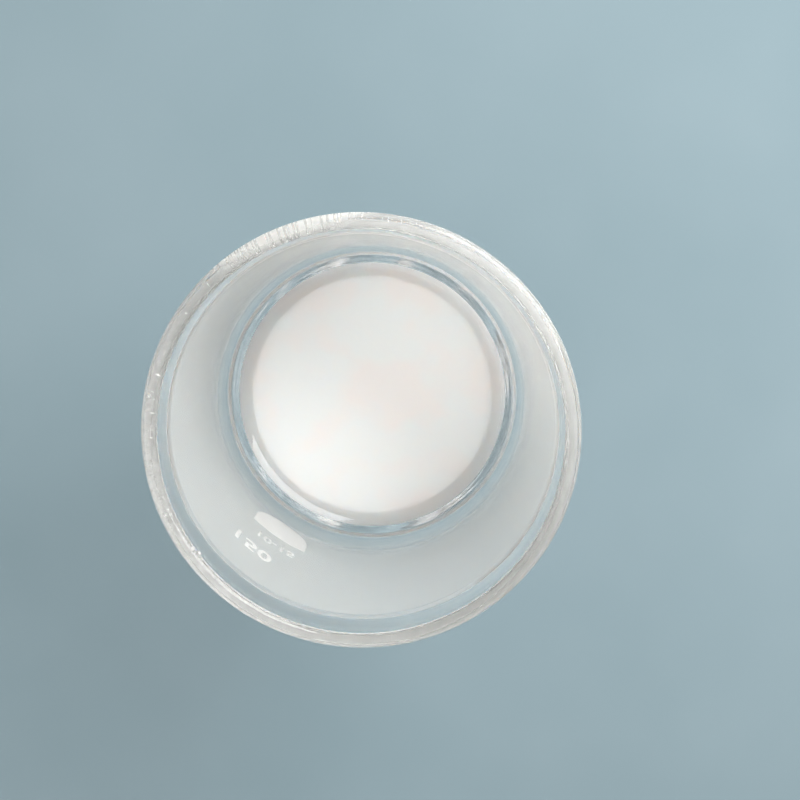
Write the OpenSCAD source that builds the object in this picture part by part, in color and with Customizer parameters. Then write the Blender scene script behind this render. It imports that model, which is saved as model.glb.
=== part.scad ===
// Fritted glass filter funnel: a straight-walled bowl with a sintered glass disc
// fused across its foot, drawn down through a sloped underside to a bevelled stem.
//
// Millimetres. +Z runs up the funnel's axis, mouth upward, and z = 0 is the stem's tip.
// The glass is one blown piece, so it is one closed profile turned about the axis.
// The disc sits in the groove that this profile leaves for it.

/* [Bowl] */
// How far the straight wall's inner face stands outside the disc's edge
bowl_step = 3; // [1:0.1:6]
// Thickness of the bowl's wall
bowl_wall = 2.1; // [1.7:0.1:3]
// Depth of the bowl, from the top of the rim down to the disc
bowl_depth = 56; // [35:1:90]

/* [Rim] */
// Height of the stretch of wall below the rim that leans outward
lean_height = 8.4; // [5:0.2:14]
// Angle of the leaning stretch from the axis
lean_angle = 5.1; // [2:0.1:14]
// Radius of the bends at both ends of the leaning stretch
lean_bend_r = 8; // [4:1:20]
// How much thicker than the wall the fire-polished round of the rim is
rim_swell = 0.6; // [0:0.1:1.6]

/* [Sintered disc] */
// Diameter of the disc
disc_d = 60; // [40:0.5:90]
// Thickness of the disc
disc_t = 5; // [3:0.5:8]
// Width of the disc's upper margin that the fused glass laps over
lip_cover = 3.4; // [2:0.1:5]
// Angle at which that lip runs out on the disc
lip_angle = 12; // [8:1:20]
// Width of the disc's lower margin that the glass carries
ledge_cover = 2; // [1:0.1:3.5]
// Thickness of the collar of glass round the disc's edge
collar_wall = 2.4; // [1.8:0.1:3.2]
// Radius of the two bends that draw the wall in to the collar
pinch_r = 6; // [4:0.5:9]
// How far below the disc's upper face those bends end
pinch_drop = 1; // [0:0.2:3]

/* [Underside] */
// Slope of the underside, from the horizontal
slope = 40; // [30:1:55]
// Radius of the shoulder under the disc, outside
shoulder_r = 16; // [10:1:18]
// Radius of the bend into the stem, outside
neck_r = 10; // [5:1:14]

/* [Stem] */
// Outer diameter of the stem
stem_d = 15; // [12:0.5:18]
// Wall thickness of the stem and the underside
stem_wall = 1.8; // [1.2:0.1:2.4]
// Length of the straight stem, from its tip to the bend
stem_len = 80; // [50:1:120]
// Angle of the bevelled tip, from the horizontal
tip_angle = 45; // [15:1:60]

/* [Hidden] */
// Straight pieces that stand for each quarter turn of a bend
quarter_steps = 24;
$fn = 180;

stem_r = stem_d / 2;
stem_bore_r = stem_r - stem_wall;

disc_r = disc_d / 2;
bowl_r = disc_r + bowl_step;
bowl_outer_r = bowl_r + bowl_wall;

lip_edge_r = disc_r - lip_cover;
ledge_edge_r = disc_r - ledge_cover;
collar_r = disc_r + collar_wall;

// The underside leans this far from the axis.
flank = 90 - slope;

// The disc rests where the outer shoulder has turned upright.
disc_bottom = stem_len + ogee_height(stem_r, neck_r, shoulder_r, collar_r);
disc_top = disc_bottom + disc_t;
rim_top = disc_top + bowl_depth;

// The lip is a hollow that leaves the wall upright and meets the disc at lip_angle.
lip_r = (bowl_r - lip_edge_r) / (1 - sin(lip_angle));
lip_top = disc_top + lip_r * cos(lip_angle);

// The pinch is two equal bends, one after the other.
pinch_in = bowl_outer_r - collar_r;
pinch_turn = acos(1 - pinch_in / (2 * pinch_r));
pinch_foot = disc_top - pinch_drop;
pinch_top = pinch_foot + 2 * pinch_r * sin(pinch_turn);

// The wall's middle line bends outward and runs straight to the middle of the rim's round.
half_wall = bowl_wall / 2;
middle_r = bowl_r + half_wall;
lean_start = rim_top - lean_height;
round_r = half_wall + rim_swell / 2;
round_z = rim_top - round_r;
bend_centre = [middle_r + lean_bend_r, lean_start];
bend_rise = lean_bend_r * sin(lean_angle);
lean_run = (round_z - lean_start - bend_rise) * tan(lean_angle);
round_centre = [middle_r + lean_bend_r * (1 - cos(lean_angle)) + lean_run, round_z];

// A hollow on each face eases the leaning wall into the thicker round.
hollow_reach = round_r + lean_bend_r;
hollow_turn = acos((half_wall + lean_bend_r) / hollow_reach);

// A block larger than the stem, for the bevel.
tip_block = 4 * stem_d;

// Points along an arc, both ends included.
function arc(centre, r, from, to) =
    let (steps = max(2, ceil(quarter_steps * abs(to - from) / 90)))
    [for (i = [0:steps]) let (a = from + (to - from) * i / steps) centre + r * [cos(a), sin(a)]];

function reversed(points) = [for (i = [len(points) - 1:-1:0]) points[i]];

// The straight flank's length between a neck bend and a shoulder.
function flank_length(low_r, neck, shoulder, high_r) =
    (high_r - low_r - (neck + shoulder) * (1 - cos(flank))) / sin(flank);

// The height from the start of the neck bend to the end of the shoulder.
function ogee_height(low_r, neck, shoulder, high_r) =
    (neck + shoulder) * sin(flank) + flank_length(low_r, neck, shoulder, high_r) * cos(flank);

// The curve from the stem, upright, out along the flank and upright again.
function ogee(low_r, neck, shoulder, high_r) =
    let (high_z = stem_len + ogee_height(low_r, neck, shoulder, high_r))
    concat(
        arc([low_r + neck, stem_len], neck, 180, 180 - flank),
        arc([high_r - shoulder, high_z], shoulder, -flank, 0)
    );

// The outer face, from the stem's tip up to the start of the lean.
function outer_face() = concat(
    [[stem_r, 0]],
    ogee(stem_r, neck_r, shoulder_r, collar_r),
    arc([collar_r + pinch_r, pinch_foot], pinch_r, 180, 180 - pinch_turn),
    arc([bowl_outer_r - pinch_r, pinch_top], pinch_r, -pinch_turn, 0)
);

// The hollow under the round, upward: side is 1 on the outer face and -1 on the inner face.
function hollow(side) =
    let (turn = -lean_angle - side * hollow_turn, start = side > 0 ? 180 : 0)
    arc(round_centre + side * hollow_reach * [cos(turn), sin(turn)],
        lean_bend_r, start - lean_angle, start + turn);

// The rim: out along the lean, over the fire-polished round and back in.
function rim() = concat(
    arc(bend_centre, lean_bend_r - half_wall, 180, 180 - lean_angle),
    hollow(1),
    arc(round_centre, round_r, -lean_angle - hollow_turn, 180 - lean_angle + hollow_turn),
    reversed(hollow(-1)),
    arc(bend_centre, lean_bend_r + half_wall, 180 - lean_angle, 180)
);

// The inner face, from the wall's foot over the lip, round the groove and down the bore.
function inner_face() = concat(
    arc([bowl_r - lip_r, lip_top], lip_r, 0, lip_angle - 90),
    [[disc_r, disc_top], [disc_r, disc_bottom], [ledge_edge_r, disc_bottom]],
    reversed(ogee(stem_bore_r, neck_r + stem_wall, shoulder_r, ledge_edge_r)),
    [[stem_bore_r, 0]]
);

module stem_bevel() {
    translate([stem_r, 0, 0])
        rotate([0, tip_angle, 0])
            translate([-tip_block, -tip_block / 2, -tip_block])
                cube(tip_block);
}

module funnel_glass() {
    color("LightBlue", 0.4)
        difference() {
            rotate_extrude() polygon(concat(outer_face(), rim(), inner_face()));
            stem_bevel();
        }
}

module sintered_disc() {
    color("White")
        translate([0, 0, disc_bottom])
            cylinder(r = disc_r, h = disc_t);
}

funnel_glass();
sintered_disc();
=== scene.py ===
# %% [markdown]
# # A fritted glass filter funnel in Blender
#
# The object is a laboratory filter funnel: a blown borosilicate bowl with a white disc of
# sintered glass fused across its foot, and a stem below. Two things make it look real:
# clear glass that is as thick and as curved as the real piece, because every highlight and
# every bent line in it comes from that shape, and a matt white disc that the wall mirrors.
# The solid model gives the sizes and the place, so the first step loads it as a fixed frame.

# %% The frame
import math

import bmesh
import bpy
from mathutils import Matrix, Vector


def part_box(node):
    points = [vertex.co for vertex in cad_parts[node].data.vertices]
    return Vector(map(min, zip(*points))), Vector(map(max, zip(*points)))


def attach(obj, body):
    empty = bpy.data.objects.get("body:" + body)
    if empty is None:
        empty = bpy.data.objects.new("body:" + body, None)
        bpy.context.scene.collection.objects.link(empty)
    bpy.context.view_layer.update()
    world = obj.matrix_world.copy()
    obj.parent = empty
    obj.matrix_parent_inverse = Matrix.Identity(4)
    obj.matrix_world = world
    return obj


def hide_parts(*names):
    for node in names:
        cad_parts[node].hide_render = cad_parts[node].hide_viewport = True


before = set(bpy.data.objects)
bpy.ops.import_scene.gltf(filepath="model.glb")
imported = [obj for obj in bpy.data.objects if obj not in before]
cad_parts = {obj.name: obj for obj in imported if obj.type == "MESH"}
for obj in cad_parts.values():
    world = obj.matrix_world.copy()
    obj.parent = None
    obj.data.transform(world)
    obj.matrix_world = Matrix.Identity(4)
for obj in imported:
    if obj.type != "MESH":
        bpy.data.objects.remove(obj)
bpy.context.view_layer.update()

glass_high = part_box("funnel_glass")[1]
disc_low, disc_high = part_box("sintered_disc")

# %% [markdown]
# ## Units, colours and nodes
#
# Blender works in metres and a glassblower works in millimetres, so one constant turns one
# into the other. Colours are written as the hex values seen on a screen, and Blender's
# shaders want linear light, so one function converts them. A third helper adds a shader
# node, sets its values and links its inputs, which keeps each material down to a few lines.

# %% Helpers
MM = 0.001


def hex_colour(text):
    """A screen colour such as "E8E6E0" as linear red, green, blue and alpha."""
    def linear(byte):
        value = byte / 255
        return value / 12.92 if value <= 0.04045 else ((value + 0.055) / 1.055) ** 2.4
    return (*[linear(int(text[i:i + 2], 16)) for i in (0, 2, 4)], 1.0)


def add_node(tree, kind, values=None, **settings):
    """A node of this kind. A value that is an output socket becomes a link."""
    node = tree.nodes.new("ShaderNode" + kind)
    for name, setting in settings.items():
        setattr(node, name, setting)
    for name, value in (values or {}).items():
        if isinstance(value, bpy.types.NodeSocket):
            tree.links.new(value, node.inputs[name])
        else:
            node.inputs[name].default_value = value
    return node


def new_material(name):
    """An empty node material and its tree."""
    material = bpy.data.materials.new(name)
    material.use_nodes = True
    material.node_tree.nodes.clear()
    return material, material.node_tree


def finish_material(tree, shader):
    """Sends this shader's first output to the material's surface."""
    add_node(tree, "OutputMaterial", {"Surface": shader.outputs[0]})


def calc(tree, operation, first, second=0.0):
    """The result of one sum, such as MULTIPLY, on two values or sockets."""
    return add_node(tree, "Math", {0: first, 1: second}, operation=operation).outputs[0]


def ramp(tree, value, low, high, start=0.0, stop=1.0):
    """Start below low, stop above high, and a straight run between."""
    return add_node(tree, "MapRange", {
        "Value": value, "From Min": low, "From Max": high,
        "To Min": start, "To Max": stop}).outputs[0]


def noise(tree, size, **values):
    """Smooth noise, about 0.5, whose features are this wide."""
    place = add_node(tree, "TexCoord").outputs["Object"]
    return add_node(tree, "TexNoise", {"Vector": place, "Scale": 1 / size, **values}).outputs["Fac"]


# %% [markdown]
# ## The camera
#
# The camera hangs close above the mouth, as a phone is held over it, and leans a few degrees,
# so the disc sits off centre in the rim. A near camera is what makes the wall show as a broad
# ring: the rim is 147 mm away and the disc 202 mm, and the nearer circle looks larger.

# %% Camera
# The middle of the rim's widest circle, and its place from the camera: right, up and back
RIM_RING = Vector((0, 0, glass_high.z - 1.05 * MM))
RIM_OFFSET = Vector((-6.32, -5.94, -146.9)) * MM
LOOK = Vector((-0.0020, -0.1231, -0.9924)).normalized()
FOCAL_PX = 900
IMAGE_PX = 800

right = LOOK.cross(Vector((0, 1, 0))).normalized()
up = right.cross(LOOK).normalized()
camera_axes = Matrix((right, up, -LOOK)).transposed()

camera_data = bpy.data.cameras.new("camera")
camera_data.sensor_width = 36
camera_data.lens = FOCAL_PX / IMAGE_PX * camera_data.sensor_width
camera_data.clip_start = 5 * MM
camera = bpy.data.objects.new("camera", camera_data)
camera.matrix_world = (
    Matrix.Translation(RIM_RING - camera_axes @ RIM_OFFSET) @ camera_axes.to_4x4()
)
bpy.context.scene.collection.objects.link(camera)
bpy.context.scene.camera = camera
bpy.context.scene.view_settings.view_transform = "Standard"
print("camera at", [round(v / MM, 1) for v in camera.location], "mm, lens", camera_data.lens)

# %% [markdown]
# ## The table
#
# Clear glass shows only what stands round it, so the table and the lights are half of the
# material. The table is pale blue-grey card, plain, with a faint cloudiness. It is large, so
# that its far edge stays near the horizon in a low view from the side.

# %% Table
FLOOR_SIZE = 12.0
CLOUDS_PER_METRE = 9.0


def floor_paint():
    """Pale blue-grey card: matt, with a faint cloudiness."""
    material, tree = new_material("pale_card")
    place = add_node(tree, "NewGeometry").outputs["Position"]
    cloud = add_node(tree, "TexNoise", {
        "Vector": place, "Scale": CLOUDS_PER_METRE, "Detail": 3.0})
    tone = add_node(tree, "MixRGB", {
        "Fac": cloud.outputs["Fac"],
        "Color1": hex_colour("6E8289"), "Color2": hex_colour("809198")})
    card = add_node(tree, "BsdfPrincipled", {"Base Color": tone.outputs[0], "Roughness": 0.9})
    finish_material(tree, card)
    return material


floor_mesh = bpy.data.meshes.new("floor")
half = FLOOR_SIZE / 2
floor_mesh.from_pydata(
    [(-half, -half, 0), (half, -half, 0), (half, half, 0), (-half, half, 0)], [], [(0, 1, 2, 3)])
floor_mesh.materials.append(floor_paint())
floor = bpy.data.objects.new("floor", floor_mesh)
bpy.context.scene.collection.objects.link(floor)
print("table", FLOOR_SIZE, "m square")

# %% [markdown]
# ## The light
#
# A soft window panel stands beyond the upper right and throws the glass's faint shadow the
# other way. Two low panels light the outside of the bowl, the nearer to the window the
# stronger. They stay out of reflections, because a lamp that shows in clear glass leaves
# hard white sparks. The sky is an even room light, just under white, so that nothing pale
# clips, also behind the bowl in a view from the side.

# %% Lights
WINDOW_PLACE, WINDOW_AIM = (0.34, 0.34, 0.52), (0, 0, 0.10)
WINDOW_SIZE, WINDOW_POWER = (0.5, 0.5), 5.5
FILL_PLACE, FILL_AIM = Vector((1.2, 1.6, 0.30)), (0, 0, 0.14)
FILL_SIZE, FILL_POWER = (0.8, 0.4), 32.0
FAR_FILL_POWER = 6.0


def area_light(name, place, aim, size, power):
    """A white rectangular lamp at this place, in metres and watts, aimed at a point."""
    data = bpy.data.lights.new(name, "AREA")
    data.shape = "RECTANGLE"
    data.size, data.size_y = size
    data.energy = power
    lamp = bpy.data.objects.new(name, data)
    lamp.location = place
    lamp.rotation_mode = "QUATERNION"
    lamp.rotation_quaternion = (Vector(aim) - Vector(place)).to_track_quat("-Z", "Y")
    bpy.context.scene.collection.objects.link(lamp)
    return lamp


area_light("window", WINDOW_PLACE, WINDOW_AIM, WINDOW_SIZE, WINDOW_POWER)
for side, power in ((-1, FAR_FILL_POWER), (1, FILL_POWER)):
    place = FILL_PLACE * Vector((side, side, 1))
    fill = area_light("fill", place, FILL_AIM, FILL_SIZE, power)
    fill.visible_glossy = fill.visible_transmission = False

world = bpy.data.worlds.new("sky")
bpy.context.scene.world = world
world.use_nodes = True
world.node_tree.nodes.clear()
sky = add_node(world.node_tree, "Background", {"Color": hex_colour("F2F1EF"), "Strength": 1.0})
add_node(world.node_tree, "OutputWorld", {"Surface": sky.outputs[0]})
print("window", WINDOW_POWER, "W, fills", FAR_FILL_POWER, "W and", FILL_POWER, "W")

# %% [markdown]
# ## Long paths in glass
#
# Light that enters the rim runs down inside the wall and bounces between its two faces, as it
# does in a glass fibre, until the disc scatters it. A path cut short there leaves a black
# ring, so the scene allows many bounces.

# %% Bounces
LONG_PATH = 64
cycles = bpy.context.scene.cycles
cycles.max_bounces = cycles.glossy_bounces = cycles.transmission_bounces = LONG_PATH
print("bounces", cycles.max_bounces)

# %% [markdown]
# ## The glass profile
#
# The real funnel is blown, turned in a flame and pressed in on its disc, so every part of it
# but the bevelled tip is a solid of revolution. One closed outline is turned about the axis.
# Bends are true arcs, cut into short steps, because a flat step in clear glass shows as a
# broken highlight. The sizes below are the driving sizes of the piece; the rest follows.

# %% Sizes of the glass
bowl_step, bowl_wall = 3 * MM, 2.1 * MM
lean_height, lean_angle, lean_bend_r, rim_swell = 8.4 * MM, math.radians(5.1), 8 * MM, 0.6 * MM
lip_cover, lip_angle, ledge_cover = 3.4 * MM, math.radians(12), 2 * MM
collar_wall, pinch_r, pinch_drop = 2.4 * MM, 6 * MM, 1 * MM
slope, shoulder_r, neck_r = math.radians(40), 16 * MM, 10 * MM
stem_r, stem_wall, stem_len = 7.5 * MM, 1.8 * MM, 80 * MM
tip_angle = math.radians(45)

disc_r = disc_high.x
disc_bottom, disc_top, rim_top = disc_low.z, disc_high.z, glass_high.z
bowl_r = disc_r + bowl_step
bowl_outer_r = bowl_r + bowl_wall
collar_r = disc_r + collar_wall
lip_edge_r = disc_r - lip_cover
ledge_edge_r = disc_r - ledge_cover
print("disc", disc_r / MM, "bowl", bowl_r / MM, "rim top", rim_top / MM)

# %% Outline of the glass
QUARTER_STEPS = 26


def arc(centre, radius, start, stop):
    """Points along an arc, both ends included, angles in radians."""
    steps = max(2, math.ceil(QUARTER_STEPS * abs(stop - start) / (math.pi / 2)))
    angles = [start + (stop - start) * i / steps for i in range(steps + 1)]
    return [(centre[0] + radius * math.cos(a), centre[1] + radius * math.sin(a)) for a in angles]


def ogee(low_r, neck, shoulder, high_r):
    """From the stem, upright, out along the sloping flank and upright again."""
    flank = math.pi / 2 - slope
    run = (high_r - low_r - (neck + shoulder) * (1 - math.cos(flank))) / math.sin(flank)
    high_z = stem_len + (neck + shoulder) * math.sin(flank) + run * math.cos(flank)
    return (arc((low_r + neck, stem_len), neck, math.pi, math.pi - flank)
            + arc((high_r - shoulder, high_z), shoulder, -flank, 0))


def outer_face():
    """From the stem's tip up the outside, through the pinch, to the start of the lean."""
    turn = math.acos(1 - (bowl_outer_r - collar_r) / (2 * pinch_r))
    foot = disc_top - pinch_drop
    top = foot + 2 * pinch_r * math.sin(turn)
    return ([(stem_r, 0)] + ogee(stem_r, neck_r, shoulder_r, collar_r)
            + arc((collar_r + pinch_r, foot), pinch_r, math.pi, math.pi - turn)
            + arc((bowl_outer_r - pinch_r, top), pinch_r, -turn, 0))


def rim():
    """The wall leans out and swells to a full round that is thicker than the wall."""
    half_wall, round_r = bowl_wall / 2, (bowl_wall + rim_swell) / 2
    bend = (bowl_r + half_wall + lean_bend_r, rim_top - lean_height)
    top_z = rim_top - round_r
    run = (top_z - bend[1] - lean_bend_r * math.sin(lean_angle)) * math.tan(lean_angle)
    top = (bend[0] - lean_bend_r * math.cos(lean_angle) + run, top_z)
    reach = lean_bend_r + round_r
    turn = math.acos((lean_bend_r + half_wall) / reach)

    def hollow(side):
        """The hollow that eases the leaning wall into the round: 1 outside, -1 inside."""
        away = -lean_angle - side * turn
        centre = (top[0] + side * reach * math.cos(away), top[1] + side * reach * math.sin(away))
        start = math.pi if side > 0 else 0.0
        return arc(centre, lean_bend_r, start - lean_angle, start + away)

    return (arc(bend, lean_bend_r - half_wall, math.pi, math.pi - lean_angle) + hollow(1)
            + arc(top, round_r, -lean_angle - turn, math.pi - lean_angle + turn)
            + hollow(-1)[::-1]
            + arc(bend, lean_bend_r + half_wall, math.pi - lean_angle, math.pi))


def inner_face():
    """From the wall's foot over the lip, round the disc's groove and down the bore."""
    lip_r = (bowl_r - lip_edge_r) / (1 - math.sin(lip_angle))
    lip_top = disc_top + lip_r * math.cos(lip_angle)
    groove = [(disc_r, disc_top), (disc_r, disc_bottom), (ledge_edge_r, disc_bottom)]
    return (arc((bowl_r - lip_r, lip_top), lip_r, 0, lip_angle - math.pi / 2) + groove
            + ogee(stem_r - stem_wall, neck_r + stem_wall, shoulder_r, ledge_edge_r)[::-1]
            + [(stem_r - stem_wall, 0)])


outline = outer_face() + rim() + inner_face()
print("outline points", len(outline), "rim diameter", 2 * max(p[0] for p in outline) / MM)

# %% [markdown]
# ## Turning the outline
#
# A Screw modifier could turn the outline, but the stem ends in a bevel, so the lathe is a
# short function: each meridian repeats the outline, and the two points of the tip slide up
# to the bevel's slanting plane. Points on the axis are merged into one. Edges sharper than
# 40 degrees stay crisp, the rest is smooth.

# %% Lathe
TURNS = 480
MERGE = 0.001 * MM
SHARP = math.radians(40)


def bevel_height(radius, angle):
    """Height of the stem's slanted end at this place."""
    return (stem_r - radius * math.cos(angle)) * math.tan(tip_angle)


def lathe(name, points, closed=True):
    """Turns a list of (radius, height) about the axis. A height of 0 goes to the bevel."""
    verts, faces = [], []
    for i in range(TURNS):
        angle = 2 * math.pi * i / TURNS
        for radius, height in points:
            z = bevel_height(radius, angle) if height == 0 else height
            verts.append((radius * math.cos(angle), radius * math.sin(angle), z))
    count = len(points)
    for i in range(TURNS):
        here, after = i * count, (i + 1) % TURNS * count
        for j in range(count if closed else count - 1):
            k = (j + 1) % count
            faces.append((here + j, after + j, after + k, here + k))
    mesh = bpy.data.meshes.new(name)
    mesh.from_pydata(verts, [], faces)
    work = bmesh.new()
    work.from_mesh(mesh)
    bmesh.ops.remove_doubles(work, verts=work.verts, dist=MERGE)
    work.to_mesh(mesh)
    work.free()
    mesh.shade_smooth()
    mesh.set_sharp_from_angle(angle=SHARP)
    thing = bpy.data.objects.new(name, mesh)
    bpy.context.scene.collection.objects.link(thing)
    return thing


funnel = lathe("blown_funnel", outline)
print("funnel faces", len(funnel.data.polygons))

# %% [markdown]
# ## Wear of the rim
#
# The rim was rolled in a flame against a tool, which left short marks across it, about half
# a millimetre apart, and years of use have frosted one stretch and chipped a few points.
# The marks are a bump that follows the angle round the axis. Ground glass is white because
# it scatters light, so the frosted stretch and the chips also get a share of white.

# %% Wear of the rim
TICK_SPACING = 0.5 * MM
TICK_DEPTH = 0.12 * MM
# A mark rises where the noise passes from the first value to the second.
TICK_EDGE = (0.52, 0.62)
# How far below the top of the rim the wear starts, and where it is full
WEAR_START, WEAR_FULL = 2.4 * MM, 1.2 * MM
# A worn stretch: the side it is on, in degrees, and how far out towards that side the wear
# starts and is full
TICKED = (150, 5 * MM, 30 * MM)
FROSTED = (110, 32.3 * MM, 34.3 * MM)
# How white the frosted stretch is between its marks and in them, and how white a chip is
FROST_WHITE, TICK_WHITE, CHIP_WHITE = 0.6, 0.3, 0.8
# Each chip: its angle in degrees, then its radius, height and size in millimetres
CHIPS = [(213.8, 33.9, 173.2, 0.7), (216.0, 33.4, 172.9, 0.5), (201.9, 34.6, 174.0, 0.3),
         (127.0, 35.6, 173.4, 0.5), (169.0, 34.8, 173.9, 0.4)]
# The share of a chip's size, from its middle, that is chipped in full
CHIP_CORE = 0.4


def rim_wear(tree, place):
    """Where the rim is ticked, frosted and chipped: a height, and how white it is."""
    x, y, z = add_node(tree, "SeparateXYZ", {"Vector": place}).outputs
    on_rim = ramp(tree, z, rim_top - WEAR_START, rim_top - WEAR_FULL)

    def on_side(side, low, high):
        """1 on this side of the rim, and 0 away from it."""
        side = math.radians(side)
        toward = add_node(tree, "VectorMath", {
            0: place, 1: (math.cos(side), math.sin(side), 0)}, operation="DOT_PRODUCT")
        return calc(tree, "MULTIPLY", on_rim, ramp(tree, toward.outputs["Value"], low, high))

    turn = calc(tree, "ARCTAN2", y, x)
    ticks = add_node(tree, "TexNoise", {
        "W": turn, "Scale": bowl_outer_r / TICK_SPACING, "Detail": 0.0}, noise_dimensions="1D")
    ticks = ramp(tree, ticks.outputs["Fac"], *TICK_EDGE)
    height = calc(tree, "MULTIPLY", ticks, on_side(*TICKED))
    frost = ramp(tree, ticks, 0.0, 1.0, FROST_WHITE, TICK_WHITE)
    white = calc(tree, "MULTIPLY", on_side(*FROSTED), frost)
    for angle, radius, level, size in CHIPS:
        angle = math.radians(angle)
        middle = Vector((radius * math.cos(angle), radius * math.sin(angle), level)) * MM
        gap = add_node(tree, "VectorMath", {0: place, 1: middle}, operation="DISTANCE")
        chip = ramp(tree, gap.outputs["Value"], CHIP_CORE * size * MM, size * MM, 1.0, 0.0)
        height = calc(tree, "ADD", height, chip)
        white = calc(tree, "MAXIMUM", white, calc(tree, "MULTIPLY", chip, CHIP_WHITE))
    return height, white


# %% [markdown]
# ## Borosilicate glass
#
# Borosilicate is clear and almost colourless. It bends light a little less than window glass
# does: its index is 1.473. The surface is fire-polished, so it is as smooth as glass gets.
# The bowl has been rinsed and dried many times and carries a thin grey film on both faces.
# It ends at the bend below the rim and thins out towards the disc. The film scatters about
# a quarter of the light, thrown back and let through alike, and blurs reflections.
# Seen from inside the glass it is what makes the rim glow, because the rim looks down the
# wall as a glass fibre does.

# %% Glass material
GLASS_INDEX = 1.473
GROUND_BLUR = 0.5
FILM_TOP, FILM_EDGE = rim_top - lean_height, 0.3 * MM
FILM_FOOT, FILM_FADE = disc_top + 1 * MM, 6 * MM
FILM_COVER = 0.24
FILM_BLUR = 0.19


def dried_film(tree, level):
    """The film on the bowl: its shader, and 1 where the film is."""
    white = hex_colour("F6F4F0")
    film = add_node(tree, "MixShader", {
        "Fac": 0.5, 1: add_node(tree, "BsdfDiffuse", {"Color": white}).outputs[0],
        2: add_node(tree, "BsdfTranslucent", {"Color": white}).outputs[0]})
    zone = calc(tree, "MULTIPLY", ramp(tree, level, FILM_TOP - FILM_EDGE, FILM_TOP, 1.0, 0.0),
                ramp(tree, level, FILM_FOOT, FILM_FOOT + FILM_FADE))
    return film, zone


def borosilicate():
    """Clear glass, its film and its worn rim. The film blurs a face met from the air."""
    material, tree = new_material("borosilicate_glass")
    place = add_node(tree, "TexCoord").outputs["Object"]
    level = add_node(tree, "SeparateXYZ", {"Vector": place}).outputs["Z"]
    height, white = rim_wear(tree, place)
    bump = add_node(tree, "Bump", {"Height": height, "Strength": 1.0, "Distance": TICK_DEPTH})
    film, zone = dried_film(tree, level)
    from_glass = add_node(tree, "NewGeometry").outputs["Backfacing"]
    blur = calc(tree, "MULTIPLY", zone, ramp(tree, from_glass, 0.0, 1.0, FILM_BLUR, 0.0))
    glass = add_node(tree, "BsdfPrincipled", {
        "Base Color": hex_colour("FDFEFE"), "IOR": GLASS_INDEX, "Transmission Weight": 1.0,
        "Roughness": calc(tree, "ADD", calc(tree, "MULTIPLY", white, GROUND_BLUR), blur),
        "Normal": bump.outputs[0]})
    cover = calc(tree, "MAXIMUM", calc(tree, "MULTIPLY", zone, FILM_COVER), white)
    finish_material(tree, add_node(tree, "MixShader", {
        "Fac": cover, 1: glass.outputs[0], 2: film.outputs[0]}))
    return material


funnel.data.materials.append(borosilicate())
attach(funnel, "root")
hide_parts("funnel_glass")
print("film from", round(FILM_FOOT / MM, 1), "to", round(FILM_TOP / MM, 1), "mm")

# %% [markdown]
# ## The sintered disc
#
# The disc is ground glass, heated until its grains just stick. It scatters light like snow:
# matt, neutral white, a little translucent. It is fused into the wall, so its edge is set a
# few hundredths of a millimetre into the glass, and no film of air shows between the two.
# The real grains are finer than can be drawn, about 0.1 mm, so the bump is coarser, 0.5 mm.
# Use has left faint warm patches.

# %% Disc
FUSED = 0.03 * MM
EDGE_ROUND = 0.25 * MM
GRAIN, GRAIN_DEPTH = 0.5 * MM, 0.05 * MM
# A patch fades in where the noise passes from the first value to the second.
STAIN, STAIN_EDGE = 14 * MM, (0.45, 0.6)
GLOW_DEPTH = 6 * MM


def disc_outline():
    """The (radius, height) points of half the disc, with rounded edges."""
    r, low, high = disc_r + FUSED, disc_bottom - FUSED, disc_top + FUSED
    e = EDGE_ROUND
    return ([(0.0, low)] + arc((r - e, low + e), e, -math.pi / 2, 0)
            + arc((r - e, high - e), e, 0, math.pi / 2) + [(0.0, high)])


def sintered_glass():
    """Matt white glass grains that let light a little way in, with faint warm patches."""
    material, tree = new_material("sintered_glass")
    grain = noise(tree, GRAIN, Detail=2.0)
    bump = add_node(tree, "Bump", {"Height": grain, "Strength": 0.4, "Distance": GRAIN_DEPTH})
    white = add_node(tree, "MixRGB", {
        "Fac": ramp(tree, noise(tree, STAIN), *STAIN_EDGE),
        "Color1": hex_colour("F1F1EF"), "Color2": hex_colour("F5EEEB")})
    frit = add_node(tree, "BsdfPrincipled", {
        "Base Color": white.outputs[0], "Roughness": 0.85, "Normal": bump.outputs[0],
        "Subsurface Weight": 1.0, "Subsurface Radius": (1.0, 0.9, 0.8),
        "Subsurface Scale": GLOW_DEPTH})
    finish_material(tree, frit)
    return material


disc = lathe("frit_disc", disc_outline(), closed=False)
disc.data.materials.append(sintered_glass())
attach(disc, "root")
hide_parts("sintered_disc")
print("disc from", round(disc_bottom / MM, 1), "to", round(disc_top / MM, 1), "mm")

# %% [markdown]
# ## The printed marks
#
# The maker prints white enamel on the outside of the bowl and bakes it on: the capacity, the
# pore size of the disc and a patch to write on. Seen through the mouth, they are read through
# the glass and mirrored. Each mark starts flat, is cut into narrow strips so that it can
# bend, and is wrapped on the wall. It goes a little into the glass, as baked enamel does.

# %% Wrapping a flat mark
PRINT_THICK = 0.06 * MM
STRIP = 0.5 * MM


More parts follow.
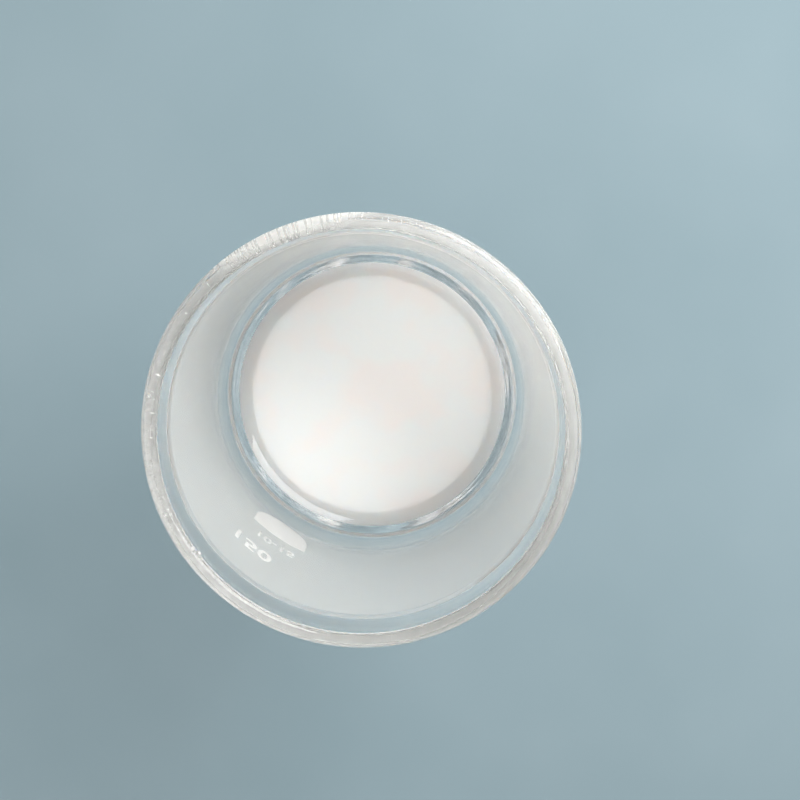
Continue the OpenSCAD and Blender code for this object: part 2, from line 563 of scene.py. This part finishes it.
def wrap(name, flat, angle, height):
    """Bends a flat mesh on the bowl's outer wall, its origin at this angle and height."""
    work = bmesh.new()
    work.from_mesh(flat)
    half = max(abs(vert.co.x) for vert in work.verts)
    for i in range(-int(half / STRIP), int(half / STRIP) + 1):
        bmesh.ops.bisect_plane(
            work, geom=work.verts[:] + work.edges[:] + work.faces[:],
            plane_co=(i * STRIP, 0, 0), plane_no=(1, 0, 0))
    raised = bmesh.ops.extrude_face_region(work, geom=work.faces[:])["geom"]
    for item in raised:
        if isinstance(item, bmesh.types.BMVert):
            item.co.z = PRINT_THICK
    for vert in work.verts:
        turn = angle + vert.co.x / bowl_outer_r
        radius = bowl_outer_r - FUSED + vert.co.z
        vert.co = (radius * math.cos(turn), radius * math.sin(turn), height + vert.co.y)
    bmesh.ops.recalc_face_normals(work, faces=work.faces[:])
    mesh = bpy.data.meshes.new(name)
    work.to_mesh(mesh)
    work.free()
    thing = bpy.data.objects.new(name, mesh)
    bpy.context.scene.collection.objects.link(thing)
    return thing


# %% [markdown]
# ## Enamel
#
# Enamel is ground white glass baked on. It is matt and covers fully, so it stays bright
# where the clear wall only borrows the brightness of what lies behind it.

# %% Enamel material
white_enamel, enamel_tree = new_material("white_enamel")
enamel = add_node(enamel_tree, "BsdfDiffuse", {"Color": hex_colour("FDFDFD")})
finish_material(enamel_tree, enamel)


def add_mark(name, flat, angle, height):
    """Prints a flat mesh in enamel on the bowl, its origin at this angle in degrees."""
    mark = wrap(name, flat, math.radians(angle), height)
    mark.data.materials.append(white_enamel)
    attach(mark, "root")
    print(name, "at", angle, "degrees,", round(height / MM, 1), "mm up")


# %% Numbers
BOLDER = 0.02
CAPACITY_SIZE, CAPACITY_ANGLE, CAPACITY_FOOT = (9.0 * MM, 4.6 * MM), 229.1, 147.5 * MM
PORE_SIZE, PORE_ANGLE, PORE_FOOT = (9.0 * MM, 3.1 * MM), 235.7, 139.2 * MM


def number(text, width, height):
    """Flat numbers of this size, in the built-in font made bolder."""
    curve = bpy.data.curves.new("number", "FONT")
    curve.body, curve.offset = text, BOLDER
    flat = bpy.data.meshes.new_from_object(bpy.data.objects.new("number", curve))
    spans = [[vert.co[axis] for vert in flat.vertices] for axis in (0, 1)]
    (left, right_end), (low, high) = [(min(span), max(span)) for span in spans]
    flat.transform(Matrix.Translation((-(left + right_end) / 2, -low, 0)))
    flat.transform(Matrix.Diagonal((width / (right_end - left), height / (high - low), 1, 1)))
    return flat


add_mark("capacity_mark", number("150", *CAPACITY_SIZE), CAPACITY_ANGLE, CAPACITY_FOOT)
add_mark("pore_mark", number("10-15", *PORE_SIZE), PORE_ANGLE, PORE_FOOT)

# %% Writing patch
PATCH_WIDTH, PATCH_SIDE = 13.4 * MM, 4.0 * MM
PATCH_ANGLE, PATCH_TOP = 235.0, 135.5 * MM


def patch():
    """A U: a straight top, short sides and a half round below."""
    half = PATCH_WIDTH / 2
    points = [(half, 0), (-half, 0)] + arc((0, -PATCH_SIDE), half, math.pi, 2 * math.pi)
    flat = bpy.data.meshes.new("patch")
    flat.from_pydata([(x, y, 0) for x, y in points], [], [list(range(len(points)))])
    return flat


add_mark("writing_patch", patch(), PATCH_ANGLE, PATCH_TOP)
